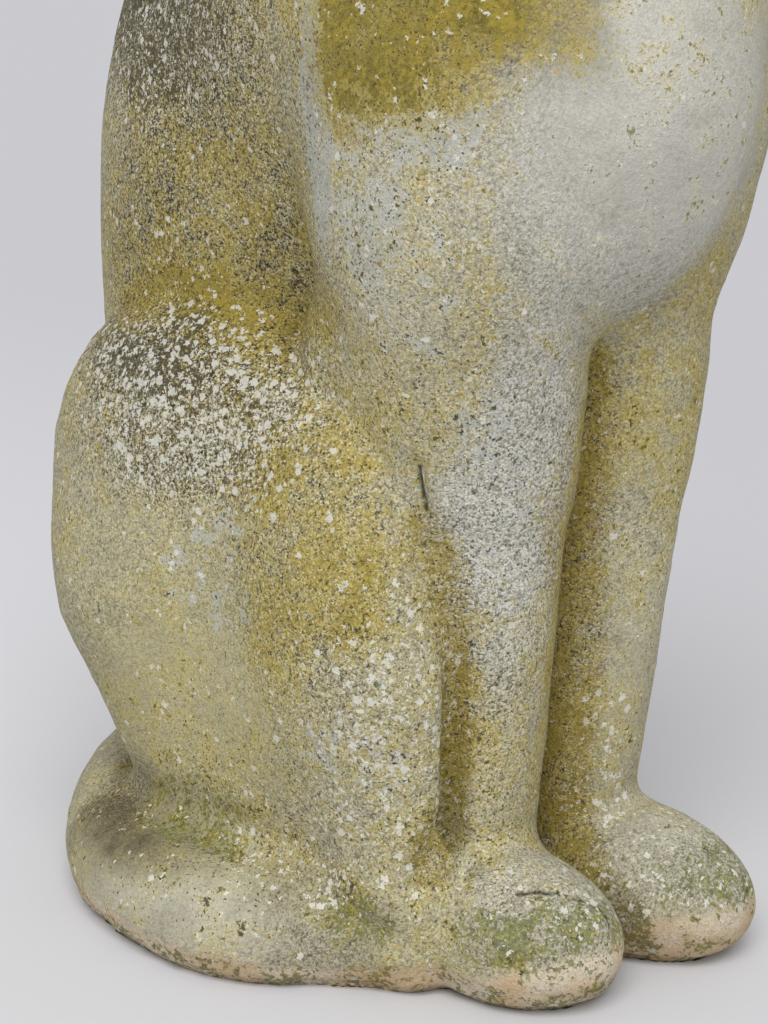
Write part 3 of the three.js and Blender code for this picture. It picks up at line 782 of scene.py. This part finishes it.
class Nodes:
    """Short ways to add and join the nodes of one material."""

    def __init__(self, name):
        self.material = bpy.data.materials.new(name)
        self.material.use_nodes = True
        self.tree = self.material.node_tree
        self.shader = self.tree.nodes["Principled BSDF"]

    def add(self, kind, inputs=None, **settings):
        node = self.tree.nodes.new(kind)
        for name, value in settings.items():
            setattr(node, name, value)
        for name, value in (inputs or {}).items():
            self.put(node.inputs[name], value)
        return node

    def put(self, socket, value):
        if isinstance(value, bpy.types.NodeSocket):
            self.tree.links.new(value, socket)
        else:
            socket.default_value = value

    def math(self, operation, a, b=0.0, c=0.0):
        node = self.add("ShaderNodeMath", operation=operation)
        for socket, value in zip(node.inputs, (a, b, c)):
            self.put(socket, value)
        return node.outputs[0]

    def map(self, name):
        return self.add("ShaderNodeAttribute", attribute_type="GEOMETRY", attribute_name=name).outputs["Fac"]

    def step(self, value, low, high):
        node = self.add("ShaderNodeMapRange", interpolation_type="SMOOTHSTEP")
        for name, number in (("Value", value), ("From Min", low), ("From Max", high)):
            self.put(node.inputs[name], number)
        return node.outputs["Result"]

    def mix(self, amount, a, b, blend_type="MIX"):
        node = self.add("ShaderNodeMix", data_type="RGBA", blend_type=blend_type)
        self.put(node.inputs["Factor"], amount)
        for socket, value in zip([s for s in node.inputs if s.type == "RGBA"], (a, b)):
            self.put(socket, value)
        return next(s for s in node.outputs if s.type == "RGBA")

    def noise(self, where, scale, detail=2.0, roughness=0.6):
        inputs = {"Vector": where, "Scale": scale, "Detail": detail, "Roughness": roughness}
        return self.add("ShaderNodeTexNoise", inputs).outputs["Fac"]

    def cells(self, where, scale):
        """Random colour of each cell and the distance from its middle."""
        node = self.add("ShaderNodeTexVoronoi", {"Vector": where, "Scale": scale})
        parts = self.add("ShaderNodeSeparateColor", {"Color": node.outputs["Color"]})
        return parts.outputs, node.outputs["Distance"]

    def ramp(self, value, stops):
        node = self.add("ShaderNodeValToRGB", {"Fac": value})
        elements = node.color_ramp.elements
        for element, (place, colour) in zip(elements, (stops[0], stops[-1])):
            element.position = place
            element.color = colour
        for place, colour in stops[1:-1]:
            elements.new(place).color = colour
        return node.outputs["Color"]


def screen(*shown):
    """Linear colour of a colour given as it shows on a screen."""
    return tuple(((value / 255 + 0.055) / 1.055) ** 2.4 for value in shown) + (1.0,)


CEMENT_TONES = [
    (0.0, screen(60, 54, 42)),
    (0.25, screen(116, 110, 92)),
    (0.5, screen(160, 156, 140)),
    (0.72, screen(189, 187, 175)),
    (1.0, screen(220, 218, 209)),
]
OLIVE_TINT = (0.95, 0.9, 0.62, 1.0)
YELLOW_TINT = (0.98, 0.85, 0.34, 1.0)
OLIVE_DARK = screen(92, 84, 34)
OLIVE = screen(126, 116, 50)
OCHRE = screen(160, 142, 58)
YELLOW = screen(200, 176, 92)
FILM_GREY = screen(168, 170, 164)
FILM_PALE = screen(188, 190, 184)
CRUST_BLACK = screen(50, 46, 38)
CRUST_BROWN = screen(88, 80, 62)
ROSETTE = screen(224, 222, 210)
ROSETTE_GREY = screen(196, 196, 182)
MOSS_DARK = screen(62, 70, 36)
MOSS_BRIGHT = screen(134, 138, 70)
TAN = screen(222, 209, 188)
CLAY = screen(208, 180, 144)
# Brown for dirt and for painted shade in the hollows, the grooves and between the paws.
GRIME_AND_SHADE = screen(98, 80, 36)
CRACK = screen(52, 48, 34)


# Lumps of noise and cells to the metre, and how far in metres the cells' borders stray.
WOBBLE_SCALE = 900.0
UNEVEN_REACH = 0.0013
RAGGED_REACH = 0.003
COARSE_SCALE = 38.0
MEDIUM_SCALE = 120.0
FINE_SCALE = 480.0
GRAIN_SCALE = 1800.0
LUMP_SCALE = 900.0
ROSETTE_SCALE = 330.0
DOT_SCALE = 600.0
BUMP_DISTANCE = 0.0009


class Cement(Nodes):
    """Weathered cement, laid in layers from the bare casting up to the dirt and painted shade in its
    grooves.
    """

    def __init__(self):
        super().__init__("weathered_cement")
        self.place = self.add("ShaderNodeTexCoord").outputs["Object"]
        wobble = self.add("ShaderNodeTexNoise", {"Vector": self.place, "Scale": WOBBLE_SCALE, "Detail": 2.0})
        middle = {0: wobble.outputs["Color"], 1: (0.5, 0.5, 0.5)}
        self.shift = self.add("ShaderNodeVectorMath", middle, operation="SUBTRACT").outputs[0]
        uneven = self.displaced(UNEVEN_REACH)
        ragged = self.displaced(RAGGED_REACH)
        self.coarse = self.swing(COARSE_SCALE)
        self.medium = self.swing(MEDIUM_SCALE)
        self.fine = self.swing(FINE_SCALE, 0.75)
        self.grain, self.grain_off = self.cells(uneven, GRAIN_SCALE)
        self.lump, self.lump_off = self.cells(uneven, LUMP_SCALE)
        self.rosette, self.rosette_off = self.cells(ragged, ROSETTE_SCALE)
        self.dot, self.dot_off = self.cells(ragged, DOT_SCALE)
        self.rough = self.map("rough")

    def displaced(self, reach):
        """The place moved a little by fine noise, so that cells get ragged borders."""
        scaled = self.add("ShaderNodeVectorMath", {0: self.shift, "Scale": reach}, operation="SCALE")
        moved = {0: self.place, 1: scaled.outputs[0]}
        return self.add("ShaderNodeVectorMath", moved, operation="ADD").outputs[0]

    def swing(self, scale, roughness=0.6):
        """Noise that swings about 0."""
        return self.math("SUBTRACT", self.noise(self.place, scale, 3.0, roughness), 0.5)

    def patched(self, value, coarse_share, medium_share, fine_share):
        """A number broken up by the three sizes of noise."""
        shares = ((self.coarse, coarse_share), (self.medium, medium_share), (self.fine, fine_share))
        for noise, share in shares:
            value = self.math("MULTIPLY_ADD", noise, share, value)
        return value

    def times(self, a, b):
        return self.math("MULTIPLY", a, b)

    def bare(self):
        """Sand grains around the tone of the place, with dark gaps where it is coarse."""
        speckle = self.math("SUBTRACT", self.grain[0], 0.5)
        speckle = self.math("MULTIPLY_ADD", speckle, 0.75, self.times(self.fine, 1.1))
        speckle = self.math("MULTIPLY_ADD", self.step(self.lump_off, 0.5, 0.75), -0.3, speckle)
        tone = self.patched(self.map("tone"), 0.3, 0.35, 0.0)
        tone = self.math("MULTIPLY_ADD", speckle, self.rough, tone)
        return self.mix(self.map("tint"), self.ramp(tone, CEMENT_TONES), OLIVE_TINT, "MULTIPLY")

    def foot(self, colour, band):
        """Tan foot of the casting, where the ground has kept the weather off."""
        tan = self.mix(self.step(self.coarse, -0.1, 0.12), TAN, CLAY)
        tan = self.mix(self.math("LESS_THAN", self.grain[0], 0.16), tan, CLAY)
        return self.mix(self.times(band, 0.78), colour, tan)

    def filmed(self, colour, film):
        """Smooth blue-grey film with clean edges."""
        tone = self.mix(self.step(self.patched(0.0, 0.0, 0.6, 0.8), -0.2, 0.2), FILM_GREY, FILM_PALE)
        return self.mix(self.times(film, 0.6), colour, tone)

    def mossy(self, colour):
        """Green moss in the hollows and on the paws."""
        moss = self.step(self.patched(self.map("moss"), 0.0, 1.3, 1.8), 0.32, 0.46)
        return self.mix(self.times(moss, 0.75), colour, self.mix(self.lump[1], MOSS_DARK, MOSS_BRIGHT))

    def lichened(self, colour, film, band):
        """Yellow haze where the lichen is thin, grains of it, and ochre velvet where it is thick."""
        growth = self.patched(self.map("ochre"), 1.1, 1.1, 0.6)
        growth = self.math("SUBTRACT", growth, self.math("MULTIPLY_ADD", film, 0.3, self.times(band, 0.3)))
        haze = self.times(self.step(growth, 0.0, 0.7), 0.75)
        near = self.math("LESS_THAN", self.lump[0], self.times(growth, self.times(self.rough, 0.6)))
        far = self.math("LESS_THAN", self.grain[1], self.times(growth, 0.9))
        velvet = self.step(growth, 0.5, 0.85)
        velvet_tone = self.step(self.patched(0.0, 0.5, 1.0, 1.1), -0.25, 0.25)
        colour = self.mix(haze, colour, YELLOW_TINT, "MULTIPLY")
        colour = self.mix(self.times(far, 0.6), colour, self.mix(self.grain[2], OLIVE, YELLOW))
        colour = self.mix(self.times(near, 0.65), colour, self.mix(self.lump[2], OLIVE, YELLOW))
        return self.mix(self.times(velvet, 0.8), colour, self.mix(velvet_tone, OLIVE_DARK, OCHRE))

    def crusted(self, colour):
        """Black and brown crust, in patches and as single grains."""
        patches = self.step(self.patched(self.map("dark"), 0.8, 0.9, 1.5), 0.3, 0.42)
        grains = self.math("LESS_THAN", self.grain[2], self.times(self.map("dark"), 0.8))
        crust = self.math("MAXIMUM", patches, grains)
        return self.mix(self.times(crust, 0.85), colour, self.mix(self.grain[1], CRUST_BLACK, CRUST_BROWN))

    def rosettes(self, colour):
        """White rosettes, large and small."""
        many = self.patched(self.map("white"), 0.3, 0.8, 0.0)
        big = self.math("SUBTRACT", self.math("MULTIPLY_ADD", self.rosette[1], 0.36, 0.18), self.rosette_off)
        big = self.times(self.step(big, -0.03, 0.03), self.math("LESS_THAN", self.rosette[0], many))
        little = self.math("SUBTRACT", self.math("MULTIPLY_ADD", self.dot[1], 0.3, 0.2), self.dot_off)
        little = self.times(self.step(little, -0.04, 0.04), self.math("LESS_THAN", self.dot[0], many))
        tone = self.mix(self.times(self.grain[0], self.rosette[2]), ROSETTE, ROSETTE_GREY)
        return self.mix(self.times(self.math("MAXIMUM", big, little), 0.85), colour, tone)

    def dirtied_and_shaded(self, colour):
        """Dirt and painted shade in the grooves, the hollows and between the paws, and the two open cracks.
        """
        dirt_and_shade = self.times(self.map("grime_and_shade"), self.step(self.patched(0.0, 0.0, 1.0, 1.0), -0.35, 0.25))
        thin = self.math("MULTIPLY_ADD", self.fine, -0.3, self.map("crack"))
        crack = self.math("SUBTRACT", 1.0, self.step(thin, 0.04, 0.26))
        colour = self.mix(self.times(dirt_and_shade, 0.7), colour, GRIME_AND_SHADE)
        return self.mix(self.times(crack, 0.9), colour, CRACK)

    def bump(self):
        """Grains and lumps that stand up where the surface is coarse."""
        height = self.math("MULTIPLY_ADD", self.grain_off, -0.5, self.times(self.fine, 1.2))
        height = self.math("MULTIPLY_ADD", self.lump_off, -0.4, height)
        height = self.times(height, self.math("MULTIPLY_ADD", self.rough, 0.7, 0.3))
        settings = {"Height": height, "Strength": 0.75, "Distance": BUMP_DISTANCE}
        return self.add("ShaderNodeBump", settings)


def cement_material():
    make = Cement()
    band = make.step(make.patched(make.map("band"), 0.3, 0.6, 0.3), 0.25, 0.75)
    film = make.step(make.patched(make.map("film"), 0.7, 1.6, 0.5), 0.47, 0.53)
    colour = make.foot(make.bare(), band)
    colour = make.mossy(make.filmed(colour, film))
    colour = make.crusted(make.lichened(colour, film, band))
    colour = make.dirtied_and_shaded(make.rosettes(colour))
    make.put(make.shader.inputs["Base Color"], colour)
    make.put(make.shader.inputs["Roughness"], make.math("MULTIPLY_ADD", film, -0.15, 0.95))
    make.put(make.shader.inputs["Normal"], make.bump().outputs["Normal"])
    make.shader.inputs["Specular IOR Level"].default_value = 0.25
    return make.material


# The floor is painted lighter toward the front left and darker to the back and right, as the light falls,
# under a faint cloth weave.
FLOOR_PAINTED_SHADE = screen(196, 196, 199)
FLOOR_PAINTED_LIGHT = screen(216, 216, 219)
FLOOR_LIT_SIDE = (-1.5, 0.06, 0.0)
FLOOR_REACH = 40.0
FLOOR_SIDES = 64
CLOTH_SCALE = 900.0


def make_floor():
    angles = np.arange(FLOOR_SIDES) / FLOOR_SIDES * 2 * math.pi
    ring = [(FLOOR_REACH * math.cos(a), FLOOR_REACH * math.sin(a), 0) for a in angles]
    mesh = bpy.data.meshes.new("floor")
    mesh.from_pydata(ring, [], [list(range(FLOOR_SIDES))])
    floor = bpy.data.objects.new("floor", mesh)
    bpy.context.scene.collection.objects.link(floor)
    make = Nodes("pale_floor")
    place = make.add("ShaderNodeTexCoord").outputs["Object"]
    # Painted light across the floor, with the cloth's weave over it.
    along = make.add("ShaderNodeVectorMath", {0: place, 1: FLOOR_LIT_SIDE}, operation="DOT_PRODUCT")
    weave = make.math("SUBTRACT", make.noise(place, CLOTH_SCALE), 0.5)
    cloth_and_light = make.math("MULTIPLY_ADD", weave, 0.5, along.outputs["Value"])
    colour = make.mix(make.step(cloth_and_light, -1.2, 0.6), FLOOR_PAINTED_SHADE, FLOOR_PAINTED_LIGHT)
    make.put(make.shader.inputs["Base Color"], colour)
    make.shader.inputs["Roughness"].default_value = 0.9
    mesh.materials.append(make.material)


CAMERA = dict(azimuth=-42.0, pitch=13.5, distance=0.8, lens=78.0, target=(-0.0001, 0.0035, 0.1418))
SUN = dict(azimuth=-46.0, height=50.0, softness=40.0, strength=2.05)
SKY = dict(colour=(0.6, 0.6, 0.615, 1.0), strength=0.93)


def toward(azimuth, height):
    """Direction out from the cat, the azimuth from straight in front of it toward its left."""
    a, h = math.radians(azimuth), math.radians(height)
    return Vector((math.sin(a) * math.cos(h), -math.cos(a) * math.cos(h), math.sin(h)))


def make_camera():
    lens = bpy.data.cameras.new("photo_camera")
    lens.lens = CAMERA["lens"]
    lens.sensor_width = 36
    camera = bpy.data.objects.new("photo_camera", lens)
    out = toward(CAMERA["azimuth"], CAMERA["pitch"])
    camera.location = Vector(CAMERA["target"]) + out * CAMERA["distance"]
    camera.rotation_euler = (-out).to_track_quat("-Z", "Y").to_euler()
    bpy.context.scene.collection.objects.link(camera)
    bpy.context.scene.camera = camera


def make_light():
    sun = bpy.data.lights.new("soft_sun", "SUN")
    sun.energy = SUN["strength"]
    sun.angle = math.radians(SUN["softness"])
    holder = bpy.data.objects.new("soft_sun", sun)
    holder.rotation_euler = toward(SUN["azimuth"], SUN["height"]).to_track_quat("Z", "Y").to_euler()
    bpy.context.scene.collection.objects.link(holder)
    world = bpy.data.worlds.new("pale_studio")
    world.use_nodes = True
    sky = world.node_tree.nodes["Background"]
    sky.inputs["Color"].default_value = SKY["colour"]
    sky.inputs["Strength"].default_value = SKY["strength"]
    bpy.context.scene.world = world


make_camera()
make_light()
make_floor()
cat = make_cat()
cat.data.materials.append(cement_material())
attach(cat, "root")
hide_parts("cat_sculpture")
bpy.context.scene.view_settings.view_transform = "Standard"
